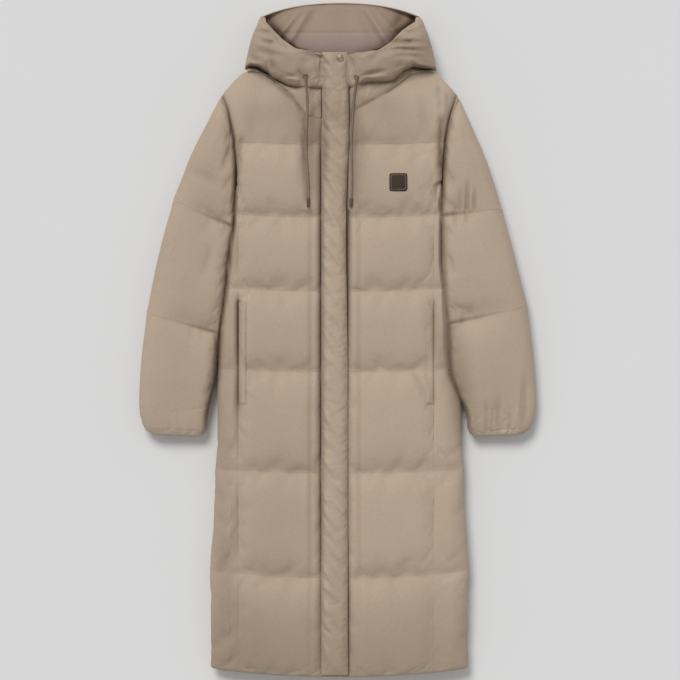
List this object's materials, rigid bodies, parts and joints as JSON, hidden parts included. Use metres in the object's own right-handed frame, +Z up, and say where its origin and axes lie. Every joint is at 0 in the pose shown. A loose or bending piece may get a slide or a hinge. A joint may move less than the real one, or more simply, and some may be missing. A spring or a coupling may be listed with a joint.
{
  "type": "long hooded puffer coat",
  "caption": "Long hooded puffer coat laid flat on its back, with quilted padded panels, a storm flap over the zip, a drawcord hood, pocket welts and elasticated cuffs.",
  "frame": {"origin": "middle of the coat's outline, on the surface that its back lies on", "axes": "+Y from the hem to the hood, +Z up through the front, +X to the side with the chest patch"},
  "size_m": [0.78, 1.312, 0.072],
  "materials": {
    "shell": "matte taupe woven shell over soft padding, with a fine plain weave",
    "lining": "smooth mauve beige lining with a soft sheen",
    "cord": "round braided cord",
    "cord_tip": "dark brown moulded end",
    "zip": "dark brown moulded zip on woven tape",
    "metal": "painted taupe metal with worn rims",
    "patch": "plain dark brown woven patch with a stitched border"
  },
  "bodies": {
    "root": {"back": "shell", "front_left": "shell", "front_right": "shell", "side_panel_left": "shell", "side_panel_right": "shell", "sleeve_left": "shell", "sleeve_right": "shell", "cuff_left": "shell", "cuff_right": "shell", "collar_left": "shell", "collar_right": "shell", "hood_left": "shell", "hood_right": "shell", "hood_centre": "shell", "hood_lining": "lining", "storm_flap": "shell", "pocket_welt_left": "shell", "pocket_welt_right": "shell", "front_zip": "zip", "press_stud": "metal", "eyelet_left": "metal", "eyelet_right": "metal", "drawcord_left": "cord", "drawcord_right": "cord", "cord_tip_left": "cord_tip", "cord_tip_right": "cord_tip", "chest_patch": "patch"}
  },
  "joints": []
}
